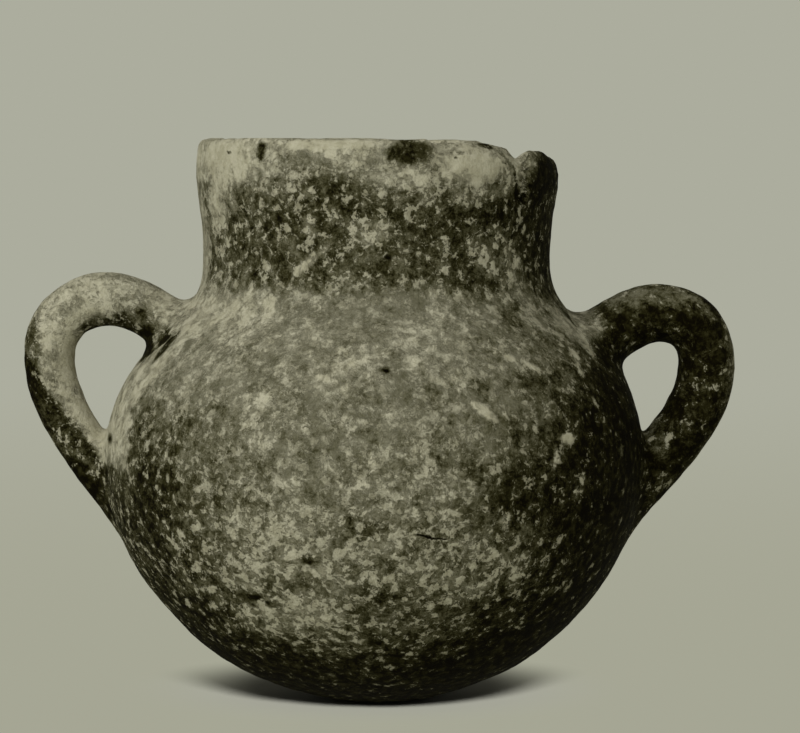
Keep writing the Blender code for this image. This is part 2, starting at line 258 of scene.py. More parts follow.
lip_edge = outer_radius(HEIGHT - LIP_ROUNDING)
rounds = [math.pi / 2 * k / ROUND_ROWS for k in range(ROUND_ROWS + 1)]
wall = Clay("wall", ring(REST_RADIUS, 0.0))
tops = JOINTS[1:] + (HEIGHT - LIP_ROUNDING,)
for course, (low, high, rows) in enumerate(zip(JOINTS, tops, OUTER_ROWS)):
    for radius, height in along(lambda z: (outer_radius(z), z), low, high, rows):
        wall.draw_out(ring(radius, height), course)
for a in rounds[1:]:
    over = LIP_ROUNDING * (1 - math.cos(a))
    wall.draw_out(ring(lip_edge - over, tops[-1] + LIP_ROUNDING * math.sin(a)), 4)
for a in rounds[::-1]:
    over = LIP_ROUNDING * (1 - math.cos(a))
    wall.draw_out(ring(lip_edge - WALL + over, tops[-1] + LIP_ROUNDING * math.sin(a)), 4)
for course in (4, 3, 2, 1, 0):
    high = tops[-1] if course == 4 else JOINTS[course + 1] + SCARF
    low = JOINTS[course] + (SCARF if course else 0.0)
    for radius, height in along(inside, high, low, INNER_ROWS[course]):
        wall.draw_out(ring(radius, height), course)
wall = wall.close()
for course in COURSES:
    wall.data.materials.append(bpy.data.materials.new(course))
apply(wall, "SUBSURF", levels=3, render_levels=3)
roughen(wall)

# The lip is worn, and broken down on the right, where its outer edge lies lower than its inner one:
# degrees round from the front to the right, then how many millimetres its outer and its inner edge
# are down there
WORN_LIP = (
    (0, 0.0, 0.0),
    (16, 0.0, 0.2),
    (19, 3.2, 0.9),
    (24, 4.2, 0.8),
    (31, 3.8, 1.1),
    (38, 4.2, 1.1),
    (43, 4.4, 1.5),
    (46, 5.0, 1.8),
    (48, 6.3, 2.0),
    (51, 6.6, 2.6),
    (53, 6.5, 5.4),
    (55, 6.3, 6.4),
    (56.2, 3.8, 6.3),
    (58, 3.1, 6.2),
    (62, 3.2, 6.0),
    (67, 3.6, 5.9),
    (72, 4.4, 5.7),
    (80, 5.8, 5.8),
    (90, 6.6, 6.4),
    (106, 6.7, 6.6),
    (134, 6.4, 6.5),
    (138, 2.0, 1.4),
    (143, 0.3, 0.4),
    (200, 0.2, 0.1),
    (206, 1.2, 0.6),
    (211, 0.2, 0.1),
    (242, 0.1, 0.0),
    (246, 0.9, 0.3),
    (251, 0.0, 0.0),
    (304, 0.0, 0.0),
    (306, 0.5, 0.2),
    (309, 0.0, 0.0),
    (322, 0.0, 0.0),
    (324, 0.6, 0.2),
    (326, 0.1, 0.1),
    (360, 0.0, 0.0),
)
# It is a little wavy besides: how many waves go round it, their share and where they start
LIP_WAVES = ((5, 0.5, 1.0), (11, 0.3, 0.0), (29, 0.2, 2.0))
LIP_WAVE_DEPTH = 0.0003
skin = points_of(wall)
out_x = skin[:, 0] - axis_x(skin[:, 2])
bearing = np.degrees(np.arctan2(out_x, -skin[:, 1])) % 360
across = smooth((np.hypot(out_x, skin[:, 1]) - (lip_edge - WALL / 2)) / WALL + 0.5)
share = smooth((skin[:, 2] - JOINTS[4]) / (HEIGHT - JOINTS[4]))
bearings, outer_down, inner_down = np.array(WORN_LIP).T
outer_down = np.interp(bearing, bearings, outer_down) / 1000
inner_down = np.interp(bearing, bearings, inner_down) / 1000
skin[:, 2] -= share * (inner_down + (outer_down - inner_down) * across)
turns = np.radians(bearing)
wave = sum(part * np.sin(count * turns + start) for count, part, start in LIP_WAVES)
skin[:, 2] -= share * LIP_WAVE_DEPTH * (1 + wave)
skin[:, 2] = np.clip(skin[:, 2], 0.0, HEIGHT)

# Beside the notch a flake has sprung off the outside of the lip. It is broad above and narrow
# below, and has left a ragged edge and a rough bed.
FLAKE_BEARING = 52.4
FLAKE_LEAN = 0.6
FLAKE_TOP = 0.170
FLAKE_DROP = 0.0160
FLAKE_HALF = 0.0040
FLAKE_TAPER = 0.6
FLAKE_DEPTH = 0.0017
FLAKE_EDGE = 0.0011
EDGE_RAG = 0.0006
FINE_EDGE_RAG = 0.0004
BED_ROUGHNESS = 0.22
level = skin[:, 2]
down = np.clip((FLAKE_TOP - level) / FLAKE_DROP, 0.0, 1.0)
half = FLAKE_HALF * (1 - FLAKE_TAPER * down**1.5)
off_middle = (bearing - FLAKE_BEARING - FLAKE_LEAN * down) * math.radians(1) * LIP_RADIUS
rag = EDGE_RAG * np.sin(900 * level) + FINE_EDGE_RAG * np.sin(2300 * level + 1.0)
edge = np.minimum((half - abs(off_middle + rag)) / FLAKE_EDGE, (1 - down) * 5)
bumps = np.sin(2100 * level + 900 * off_middle) * np.cos(1500 * off_middle)
dent = FLAKE_DEPTH * smooth(edge) * (1 + BED_ROUGHNESS * bumps) * across
reach = np.hypot(out_x, skin[:, 1])
skin[:, 0] -= dent * out_x / reach
skin[:, 1] -= dent * skin[:, 1] / reach
skin[:, 1] = np.clip(skin[:, 1], cad_low[1], cad_high[1])
put_points(wall, skin)

# The clay is matt and grey-brown. Cooking fires have blackened it, unevenly and most of all on the
# right, and lime from the ground has grown over it as a pale, ragged, slightly raised crust.
# The painted soot and its black tone also serve as painted shade, and the painted lime as painted
# light, wherever the marks below paint shade or light with them.
CLAY_TONE = (0.128, 0.124, 0.094, 1.0)
SOOT_AND_SHADE_TONE = (0.0032, 0.0034, 0.0034, 1.0)
FILM_TONE = (0.310, 0.299, 0.216, 1.0)
LIME_TONE = (0.375, 0.358, 0.252, 1.0)
PALE_LIME_TONE = (0.465, 0.447, 0.325, 1.0)


class Tone:
    """A value or colour of a material, which can be reckoned with as a number can."""

    def __init__(self, finish, socket):
        self.finish = finish
        self.socket = socket

    def math(self, operation, first, second):
        return self.finish.node("Math", {"operation": operation}, {0: first, 1: second})

    def __add__(self, other):
        return self.math("ADD", self, other)

    def __sub__(self, other):
        return self.math("SUBTRACT", self, other)

    def __rsub__(self, other):
        return self.math("SUBTRACT", other, self)

    def __mul__(self, other):
        return self.math("MULTIPLY", self, other)

    def __truediv__(self, other):
        return self.math("DIVIDE", self, other)

    def __lt__(self, other):
        return self.math("LESS_THAN", self, other)

    __radd__ = __add__
    __rmul__ = __mul__

    def step(self, low, high):
        """0 below low, 1 above high, and eased between them."""
        return self.finish.node(
            "MapRange",
            {"interpolation_type": "SMOOTHSTEP"},
            {"Value": self, "From Min": low, "From Max": high},
        )

    def size(self):
        """How far the value is from 0, whichever way."""
        return self.finish.node("Math", {"operation": "ABSOLUTE"}, {0: self})

    def parts(self):
        split = self.finish.node("SeparateXYZ", {}, {0: self}).socket.node
        return [Tone(self.finish, socket) for socket in split.outputs]

    def moved(self, way):
        return self.finish.node("VectorMath", {"operation": "ADD"}, {0: self, 1: way})

    def stretched(self, shares):
        return self.finish.node("VectorMath", {"operation": "MULTIPLY"}, {0: self, 1: shares})

    def distance(self):
        return self.finish.node("VectorMath", {"operation": "LENGTH"}, {0: self}, "Value")

    def noise(self, scale, detail=2.0, rough=0.5, out="Fac"):
        return self.finish.node(
            "TexNoise",
            {},
            {"Vector": self, "Scale": scale, "Detail": detail, "Roughness": rough},
            out,
        )

    def drift(self, scale, far):
        """The same place, moved by 0 to far along each axis, so that what follows gets ragged."""
        lots = self.noise(scale, out="Color")
        return self.finish.node(
            "VectorMath", {"operation": "MULTIPLY_ADD"}, {0: lots, 1: (far,) * 3, 2: self}
        )


class Finish:
    """A material, built up from its tones."""

    def __init__(self, name):
        self.material = bpy.data.materials.get(name) or bpy.data.materials.new(name)
        self.material.use_nodes = True
        self.tree = self.material.node_tree
        self.shader = self.tree.nodes["Principled BSDF"]

    def node(self, kind, settings=None, inputs=None, out=0):
        made = self.tree.nodes.new("ShaderNode" + kind)
        for name, value in (settings or {}).items():
            setattr(made, name, value)
        for name, value in (inputs or {}).items():
            self.fill(made.inputs[name], value)
        return Tone(self, made.outputs[out])

    def fill(self, socket, value):
        if isinstance(value, Tone):
            self.tree.links.new(value.socket, socket)
        else:
            socket.default_value = value

    def place(self):
        return self.node("TexCoord", out="Object")

    def painted(self, name):
        return self.node("Attribute", {"attribute_name": name}, out="Fac")

    def mix(self, share, one, other):
        return self.node("Mix", {"data_type": "RGBA"}, {0: share, 6: one, 7: other}, 2)

    def shade(self, **tones):
        for name, value in tones.items():
            self.fill(self.shader.inputs[name.replace("_", " ")], value)


# Pits in the outside: degrees round from the front to the right, height and radius in millimetres
PITS = (
    (4.2, 140.1, 1.1),
    (2.6, 107.8, 1.5),
    (25.5, 169.9, 0.6),
    (-52.0, 171.3, 0.7),
    (150.0, 96.0, 1.2),
    (-140.0, 60.0, 1.0),
    (205.0, 141.0, 0.9),
    (-76.8, 83.6, 2.3),
)
# A pit's core is painted black, as the shade inside it, and this painted shade fades out at its
# edge, both as shares of its radius. Distances to the right, back and up count in it by the shares
# of its shape. A piece also has the pits just outside its own heights, within the margin.
PIT_CORE = 0.3
PIT_EDGE = 1.2
PIT_SHAPE = (0.8, 0.3, 1.1)
PIT_MARGIN = 0.002
# A hair crack in the belly, painted dark as the shade in it: its middle, half its length, how far
# it falls to the right and wanders, and half its width at the bottom and at the top
CRACK_X = 0.0170
CRACK_HEIGHT = 0.0586
CRACK_HALF = 0.0062
CRACK_FALL = 0.16
CRACK_WANDER = 0.0030
CRACK_BOTTOM = 0.00010
CRACK_TOP = 0.00038


def shaded_hollows(place, paths, low, high):
    """Where a piece that reaches from one height to another has its pits and the crack, painted as
    shade.
    """
    shaded_hollow = 0.0
    pits = [pit for pit in PITS if low - PIT_MARGIN <= pit[1] / 1000 < high + PIT_MARGIN]
    for turn, up, radius in pits:
        out = outer_radius(up / 1000)
        middle = (
            -out * math.sin(math.radians(turn)) - axis_x(up / 1000),
            out * math.cos(math.radians(turn)),
            -up / 1000,
        )
        far = place.drift(700.0, 0.0014).moved(middle).stretched(PIT_SHAPE).distance()
        shaded_hollow = shaded_hollow + (1.0 - far.step(radius / 1000 * PIT_CORE, radius / 1000 * PIT_EDGE))
    if low <= CRACK_HEIGHT < high:
        x, y, z = place.parts()
        along_it = x - CRACK_X
        off_it = z + along_it * CRACK_FALL - CRACK_HEIGHT + (paths - 0.5) * CRACK_WANDER
        within = 1.0 - along_it.size().step(CRACK_HALF * 0.6, CRACK_HALF)
        gape = 1.0 - off_it.size().step(CRACK_BOTTOM, CRACK_TOP)
        shaded_hollow = shaded_hollow + gape * within * (y < 0.0)
    return shaded_hollow


# The patterns of the finish: how many to a metre, layers of detail, and how rough. Those that lie
# on the same ragged places are moved apart, so that they don't fall on one another.
GRIME = (130.0, 6.0, 0.88)
CLUMPS = (205.0, 6.0, 0.88)
FLAKES = (360.0, 2.5, 0.55)
HAZE = (85.0, 5.0, 0.84)
MOTTLE = (38.0, 4.0, 0.6)
ROOTS = (230.0, 2.0, 0.5)
CLUMPS_MOVED = (0.31, 0.17, 0.23)
FLAKES_MOVED = (0.17, 0.29, 0.11)
HAZE_MOVED = (0.13, 0.41, 0.07)
RELIEF = 0.0005


def fired_clay(name, low=0.0, high=0.0):
    """The finish of a piece; low and high are the heights between which it has pits and cracks."""
    clay = Finish(name)
    place = clay.place()
    lime_and_light = clay.painted("lime_and_light")
    soot_and_shade = clay.painted("soot_and_shade")
    ragged = place.drift(420.0, 0.0018)
    grime = ragged.noise(*GRIME)
    clumps = ragged.moved(CLUMPS_MOVED).noise(*CLUMPS)
    flakes = ragged.moved(FLAKES_MOVED).noise(*FLAKES)
    mottle = place.noise(*MOTTLE)
    paths = place.drift(260.0, 0.0060).noise(*ROOTS)
    # Lime lies as a dusting, and on sooty clay in firmer flakes and along the marks of fine roots
    roots = 1.0 - (paths - 0.5).size().step(0.010, 0.035)
    over = clumps + (lime_and_light - 0.5) * 0.26 + (mottle - 0.5) * 0.18 - 0.5
    dusting = over.step(-0.080, 0.130) * (0.35 + lime_and_light * 0.75) * (1.0 - soot_and_shade * 0.42)
    firm = (over * 0.9 + (flakes - 0.5) * 0.9 + roots * 0.08).step(0.035, 0.075)
    crust = dusting + firm * (0.15 + soot_and_shade * 0.60) * (0.66 + lime_and_light * 0.76)
    # Round it and between lies a thinner film, and what is left bare is clay, chipped out of soot
    haze = ragged.moved(HAZE_MOVED).noise(*HAZE) + (lime_and_light - 0.5) * 0.1
    dust = (grime * 0.5 + flakes * 0.5).step(0.47, 0.64) * 0.08
    film = over.step(-0.150, 0.0) * (0.10 + lime_and_light * 0.20) + dust
    film = film + haze.step(0.45, 0.63) * (0.36 - soot_and_shade * 0.30)
    chips = (grime - 0.5) * 4.6 - (flakes - 0.5) * 1.1
    black = (soot_and_shade + chips + (mottle - 0.5) * 0.9).step(0.0, 1.0)
    shaded_hollow = shaded_hollows(place, paths, low, high)
    body = clay.mix(black, CLAY_TONE, SOOT_AND_SHADE_TONE)
    filmed = clay.mix(film, body, FILM_TONE)
    lime_tone = clay.mix((clumps - grime).step(-0.12, 0.16), LIME_TONE, PALE_LIME_TONE)
    limed = clay.mix(crust, filmed, lime_tone)
    # The pits and the crack are painted black, as the shade in them
    limed = clay.mix(shaded_hollow, limed, SOOT_AND_SHADE_TONE)
    # The darker it is, the browner
    red, green, blue = limed.parts()
    browned = clay.node(
        "CombineXYZ",
        {},
        {0: red, 1: green * green / (green + 0.0015), 2: blue * blue * 1.11 / (blue + 0.032)},
    )
    height = crust * 0.6 + film * 0.5 + grime * 1.6 + clumps * 1.2 - shaded_hollow * 2.0
    bump = clay.node("Bump", {}, {"Strength": 1.0, "Distance": RELIEF, "Height": height})
    clay.shade(
        Base_Color=browned,
        Roughness=0.95 - black * 0.10 + crust * 0.05,
        Normal=bump,
        Specular_IOR_Level=0.03,
    )
    return clay.material


# How much lime and soot lies somewhere, painted light and shade included: 0 is little and 1 is
# much, and these are the bounds
LEAST = -0.3
MOST = 1.3


def brush(piece, lime_and_light, soot_and_shade):
    """Paints how much lime and how much soot lies at each point of a piece, painted light and shade
    included.
    """
    for name, amount in (("lime_and_light", lime_and_light), ("soot_and_shade", soot_and_shade)):
        layer = piece.data.attributes.new(name, "FLOAT", "POINT")
        layer.data.foreach_set("value", np.clip(amount, LEAST, MOST).astype(np.float32))


def patch(across, rise, wide, tall, lean):
    """How much a soft oval mark covers points that lie so far across and above its middle."""
    lean = math.radians(lean)
    u = (across * math.cos(lean) + rise * math.sin(lean)) / wide
    v = (rise * math.cos(lean) - across * math.sin(lean)) / tall
    return smooth(1.6 * (1 - np.hypot(u, v)))


# How lime and soot lie from the foot to the lip: height in millimetres, lime, soot. Near the foot
# the soot also stands for painted shade under the bowl.
LAYERS = (
    # Soot and painted shade: the underside of the bowl is darkened
    (0, -0.20, 1.40),
    (15, -0.04, 1.20),
    (28, 0.29, 1.00),
    (45, 0.48, 0.86),
    (60, 0.50, 0.66),
    (80, 0.47, 0.38),
    (100, 0.49, 0.24),
    (120, 0.54, 0.14),
    (127, 0.50, 0.22),
    (133, 0.34, 0.86),
    (150, 0.29, 1.08),
    (160, 0.45, 0.80),
    (166, 0.68, 0.36),
    (170, 0.86, 0.18),
    (176, 0.92, 0.12),
)
# Marks on the outside: degrees round from the front to the right, height, half width and half
# height in millimetres, lean in degrees, and the lime and soot that the mark adds. Some of them are
# painted shadow, as said above each.
MARKS = (
    # On the lip
    (9.7, 171, 9.8, 5.5, 0, -1.00, 0.75),
    (-18, 163, 17.0, 4.6, 0, -0.15, 0.10),
    (44, 161, 4.0, 5.0, 0, 0.20, -0.20),
    (28, 170.4, 9.5, 0.7, 0, -0.35, 0.45),
    (39, 172.8, 3.2, 1.6, 0, -0.60, 0.50),
    (51, 165.0, 4.0, 6.5, 0, 0.45, -0.45),
    # Painted shadow: a thin dark line down the left edge of the flake's bed
    (48.5, 160.0, 0.9, 9.0, 8, -0.60, 0.60),
    (66, 164.0, 10.0, 12.0, 0, -0.60, 0.50),
    (-80, 166.0, 14.0, 9.0, 0, 0.20, -0.50),
    (-38, 171, 2.3, 4.8, 0, -0.85, 0.70),
    (-24, 168, 12.5, 4.2, 0, -0.35, 0.20),
    (-55, 167, 20.0, 9.5, 0, 0.50, -0.45),
    (-15, 173, 21.6, 2.1, 0, 0.40, -0.20),
    (30, 166, 13.8, 7.4, 0, 0.58, -0.34),
    (9, 162, 12.1, 3.6, 0, 0.30, 0.00),
    (95, 167, 30.0, 12.0, 0, -0.70, 0.60),
    (34, 166, 11.0, 6.5, 0, 0.22, -0.06),
    # On the neck
    (-58, 155, 10.0, 7.0, 0, 0.30, -0.50),
    (-15, 158, 16.0, 7.0, 0, -0.18, 0.22),
    (-30, 150, 8.0, 6.0, 0, -0.18, 0.22),
    (33, 158, 13.0, 5.0, 0, 0.22, -0.20),
    (-23, 143, 5.0, 4.0, 0, -0.20, 0.15),
    (-63, 155, 8.0, 8.0, 0, 0.30, -0.38),
    (15, 157, 4.0, 4.0, 0, 0.20, -0.15),
    (50, 139, 9.0, 8.0, 0, 0.12, -0.16),
    (52, 130, 6.5, 14.0, 0, 0.28, -0.22),
    (-22, 149, 5.2, 4.2, 0, 0.35, 0.00),
    (-1, 147, 9.0, 5.4, 0, 0.40, 0.00),
    (40, 142, 14.0, 9.0, 0, 0.27, 0.02),
    (-23, 137, 12.0, 4.0, 0, 0.14, -0.08),
    (-82, 143, 15.0, 24.0, 0, 0.35, -0.85),
    (-66, 149, 11.9, 2.5, 0, 0.30, -0.30),
    (-22, 138, 10.0, 1.8, 40, 0.60, -0.20),
    (19, 129, 3.8, 3.0, 0, 0.35, 0.00),
    (44, 134, 8.3, 6.0, 0, 0.25, 0.00),
    # On the shoulder
    (66, 117, 10.0, 9.0, 0, 0.40, -0.60),
    (40, 101, 11.0, 7.0, 0, -0.12, 0.20),
    (-42, 121, 17.0, 11.0, 0, 0.38, -0.33),
    # Painted shadow: these two darken the wall beside the left handle's upper root, under its arch
    (-81, 111, 10.0, 7.0, 0, -1.20, 1.40),
    (-68, 112, 4.4, 6.8, 0, -1.00, 1.15),
    (-22, 115, 14.0, 9.0, 0, 0.16, -0.08),
    (-64, 122, 19.4, 8.6, 0, 0.40, -0.30),
    (16, 115, 18.5, 14.8, 0, 0.12, -0.10),
    (-15, 115, 24.5, 14.8, 0, -0.05, -0.15),
    (-35, 126, 3.7, 2.4, 0, 0.40, 0.00),
    (-9, 113, 1.8, 1.8, 0, 0.50, 0.00),
    (-6, 109, 1.8, 1.8, 0, 0.50, 0.00),
    (-3, 112, 1.8, 4.1, 20, 0.40, 0.00),
    (-7, 102, 2.9, 1.8, 20, 0.50, 0.00),
    (-12, 105, 3.0, 1.5, 0, 0.50, 0.00),
    (-25, 98, 2.6, 4.1, 0, 0.10, 0.00),
    (23.5, 95.2, 7.5, 2.0, -38, 0.85, -0.10),
    (56, 96, 1.3, 2.4, 10, 0.70, 0.00),
    (34, 110, 2.9, 1.5, -20, 0.50, 0.00),
    (40, 107, 3.9, 1.2, -25, 0.50, 0.00),
    (46, 100, 3.4, 1.2, -20, 0.40, 0.00),
    (56, 108, 2.1, 7.8, -25, 0.40, 0.00),
    (67, 110, 3.1, 6.7, -30, 0.40, 0.00),
    (-48, 106, 16.0, 12.0, 0, 0.08, -0.10),
    (39, 107, 18.0, 12.0, 0, 0.04, -0.07),
    # On the belly
    (31, 71, 21.0, 15.5, 0, -0.16, 0.31),
    (4, 93, 9.0, 8.0, 0, 0.17, -0.13),
    (15, 84, 9.0, 6.0, 0, -0.08, 0.12),
    (-44, 92, 8.0, 7.0, 0, -0.08, 0.12),
    (-46, 74, 9.0, 7.0, 0, -0.10, 0.08),
    (-4, 61, 13.0, 8.0, 0, -0.16, 0.20),
    (-24, 92, 8.0, 13.0, 0, 0.08, 0.00),
    (0, 81, 1.4, 4.2, 8, 0.50, 0.00),
    (20, 73.5, 2.6, 1.5, 0, 0.60, 0.00),
    (27.5, 62.5, 2.2, 1.6, 0, 0.60, 0.00),
    (-2, 75, 3.2, 2.6, 0, 0.30, 0.00),
    (73, 88, 22.0, 46.0, 0, -0.25, 0.45),
    (-23, 87, 6.4, 4.1, 0, 0.30, 0.00),
    (44, 86, 4.8, 2.2, 0, 1.10, -0.30),
    (40, 80, 1.5, 4.1, -15, 0.60, 0.00),
    (48, 74, 1.8, 3.0, -15, 0.70, 0.00),
    (47, 70, 3.5, 1.5, 0, 0.60, 0.00),
    # Partly soot and partly painted shadow, which the left handle's lower arm throws on the flank
    (-54, 67, 12.1, 18.0, 0, -0.15, 0.35),
    (60, 72, 34.0, 50.0, 0, -0.20, 0.40),
    # On the bowl
    (24, 50, 26.0, 14.0, 0, 0.14, 0.00),
    (-20, 36, 24.0, 6.5, 0, 0.22, -0.06),
    (0, 42, 7.0, 5.0, 0, -0.14, 0.16),
    (-62, 34, 9.0, 9.0, 0, -0.10, 0.20),
    (-43, 40, 13.0, 8.0, 0, 0.06, -0.06),
    (23, 44, 9.0, 6.0, 0, 0.07, -0.04),
    (5, 26, 10.0, 5.0, 0, -0.12, 0.16),
    (-20, 57, 34.2, 17.6, 0, 0.20, 0.05),
    (-32, 43, 11.1, 1.2, -10, 0.38, 0.00),
    (-15, 52, 2.4, 2.3, 0, -0.60, 0.40),
    (-30, 39, 3.6, 1.1, 0, -0.50, 0.50),
    (-26, 37, 2.6, 1.0, 0, -0.50, 0.50),
    (-23, 31, 24.0, 7.4, 0, 0.26, -0.04),
    (54, 19, 36.2, 12.2, 0, -0.40, 0.40),
    # At the back
    (150, 62, 34.0, 24.0, 12, -0.12, 0.42),
    (202, 97, 30.0, 16.0, -8, 0.26, -0.22),
    (236, 52, 24.0, 15.0, 0, 0.22, 0.05),
    (172, 152, 22.0, 9.0, 0, 0.30, -0.25),
    (217, 166, 14.0, 6.0, 0, -0.40, 0.40),
    (188, 34, 32.0, 9.0, 0, 0.22, -0.15),
    (140, 113, 16.0, 6.0, -20, 0.45, -0.10),
    (226, 120, 9.0, 4.0, 15, 0.50, -0.20),
    (186, 82, 8.0, 2.6, -30, 0.60, 0.00),
    (163, 92, 3.0, 6.5, 10, 0.60, 0.00),
    (212, 70, 5.0, 2.4, 0, 0.60, 0.00),
    (128, 84, 6.0, 2.4, 20, 0.55, 0.00),
    (196, 139, 17.0, 7.0, 0, -0.20, 0.25),
)


# The flanks are blacker: on the right with soot, and on the left partly with painted shade, as the
# left handle's shadow and as a darker edge low down. Degrees round from the front to the right, how
# many to each side are full and over how many more it fades, the height up to which it is full,
# over how much more it fades and by what share, and the lime and soot that it adds
SOOTY_AND_SHADED_FLANKS = (
    (95, 31, 62, 85, 25, 0.45, -0.42, 0.80),
    # The two on the left are partly painted shade
    (-75, 16.8, 42, 86, 16, 1.00, -0.21, 0.50),
    (-92, 6, 30, 60, 12, 1.00, -0.08, 0.25),
)
# Behind the right handle they are less so: from how many degrees, over how many and by what share
BEHIND_RIGHT = (89, 20, 0.60)
# Beside the left handle's loop the wall is pale, partly with lime and partly as painted light that
# falls through the loop. Height and degrees to the left of the front edge, degrees to the left of
# the back edge, heights of the foot and the top, and the lime and soot
PALE_FRONT = ((70, 62), (84, 63), (94, 65), (112, 58), (120, 51))
PALE_BACK = 118
PALE_FOOT = 73
PALE_TOP = 122
PALE_LIME_AND_LIGHT = 0.93
PALE_SOOT_AND_SHADE = 0.06
# The inside of the jar is alike all over, up to the lip
INSIDE_LIME = 0.35
INSIDE_SOOT = 0.75


def pale_lit_place(turn, high):
    """How much of a point lies in the pale place of lime and painted light, which has a ragged
    front, back and foot.
    """
    front = np.interp(high, *np.array(PALE_FRONT).T)
    front += 1.2 * np.sin(high * 0.9) + 0.8 * np.sin(high * 2.1 + 1.0)
    back = PALE_BACK + 8.0 * np.sin(high * 0.28 + 1.0) + 3.0 * np.sin(high * 1.1)
    foot = PALE_FOOT - 0.10 * (turn + 70) + 3.5 * np.sin(turn * 0.30) * smooth((-turn - 80) / 12)
    pale = smooth((-turn - front) / 3.4 + 0.5) * smooth((turn + back) / 24)
    return pale * smooth((high - foot) / 8) * smooth((PALE_TOP - high) / 6)


def paint_wall(piece):
    """Brushes the lime and soot on to one ring of the wall, painted light and shade included."""
    co = points_of(piece)
    high = co[:, 2] * 1000
    x = co[:, 0] - axis_x(co[:, 2])
    turn = np.degrees(np.arctan2(x, -co[:, 1]))
    out = np.hypot(x, co[:, 1]) * 1000
    heights, limes, soots = np.array(LAYERS).T
    lime_and_light = np.interp(high, heights, limes)
    soot_and_shade = np.interp(high, heights, soots)
    behind, over, part = BEHIND_RIGHT
    less = 1 - part * smooth((turn - behind) / over)
    for at, full, fade, up, over, part, more_lime_and_light, more_soot_and_shade in SOOTY_AND_SHADED_FLANKS:
        weight = smooth(1 - (abs(turn - at) - full) / fade) * less
        weight *= 1 - part * smooth((high - up) / over)
        lime_and_light += more_lime_and_light * weight
        soot_and_shade += more_soot_and_shade * weight
    # The pale place is partly painted light
    pale = pale_lit_place(turn, high)
    lime_and_light += (PALE_LIME_AND_LIGHT - lime_and_light) * pale
    soot_and_shade += (PALE_SOOT_AND_SHADE - soot_and_shade) * pale
    for at, up, wide, tall, lean, more_lime_and_light, more_soot_and_shade in MARKS:
        across = np.radians((turn - at + 180) % 360 - 180) * out
        weight = patch(across, high - up, wide, tall, lean)
        lime_and_light += more_lime_and_light * weight
        soot_and_shade += more_soot_and_shade * weight
    face = np.interp(high, *np.array([(z, outer_radius(z / 1000) * 1000) for z in range(176)]).T)
    outer = np.maximum(smooth((out - face + 6.0) / 4.0), smooth((high - 160) / 8))
    lime_and_light = INSIDE_LIME + (lime_and_light - INSIDE_LIME) * outer
    soot_and_shade = INSIDE_SOOT + (soot_and_shade - INSIDE_SOOT) * outer
    brush(piece, lime_and_light, soot_and_shade)


# The joints are opened again, and each ring of clay is closed where it meets the next
only(wall)
bpy.ops.object.mode_set(mode="EDIT")
bpy.ops.mesh.separate(type="MATERIAL")
bpy.ops.object.mode_set(mode="OBJECT")
rings = {piece.data.materials[0].name: piece for piece in bpy.context.selected_objects}
for number, course in enumerate(COURSES):
    piece = rings[course]
    piece.name = course + "_fired"
    piece.data.name = piece.name
    piece.data.materials[0] = fired_clay(SLOTS[number] + "_finish", JOINTS[number], tops[number])
    middle = (JOINTS[number] + tops[number]) / 2
    only(piece)
    for upper in (False, True):
        bpy.ops.object.mode_set(mode="EDIT")
        bpy.ops.mesh.select_mode(type="VERT")
        bpy.ops.mesh.select_all(action="DESELECT")
        bpy.ops.mesh.select_non_manifold()
        bm = bmesh.from_edit_mesh(piece.data)
        for vert in bm.verts:
            vert.select_set(vert.select and (vert.co.z > middle) == upper)
        bm.select_flush_mode()
        bmesh.update_edit_mesh(piece.data)
        if any(vert.select for vert in bm.verts):
            bpy.ops.mesh.select_mode(type="EDGE")
            bpy.ops.mesh.bridge_edge_loops()
        bpy.ops.object.mode_set(mode="OBJECT")
    bpy.ops.object.shade_smooth_by_angle(angle=math.radians(35))
    paint_wall(piece)
    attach(piece, "root")
    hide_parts(course)

# The handles: each is a hand-rolled bar of clay, bent round and pressed on to the wall, with
# more clay smeared into the corner all round both of its roots.
HANDLE_SIDES = 24
HANDLE_RINGS = 26
LINE_STEPS = 60
INTO_WALL = 0.026
SEARCH_STEP = 0.0006
SEARCH_HALVINGS = 16
SETTLE_ROUNDS = 6
# The smeared clay: how far it runs up the roll and spreads over the wall, by what share it does so
# more at the sides of a root or in a tail below it, and less in the crotch under the roll
ROOT_RUN = 0.0060
ROOT_SPREAD = 0.0062
TOP_FLARE = 1.7
TOP_CROTCH = 0.4
LOW_FLARE = 0.6
LOW_CROTCH = 0.6
LOW_TAIL = 0.8
# It feathers out into the wall over a narrow skirt, and ends inside it
SKIRT = 0.002
SKIRT_SINK = 0.0008
SINK = 0.0030


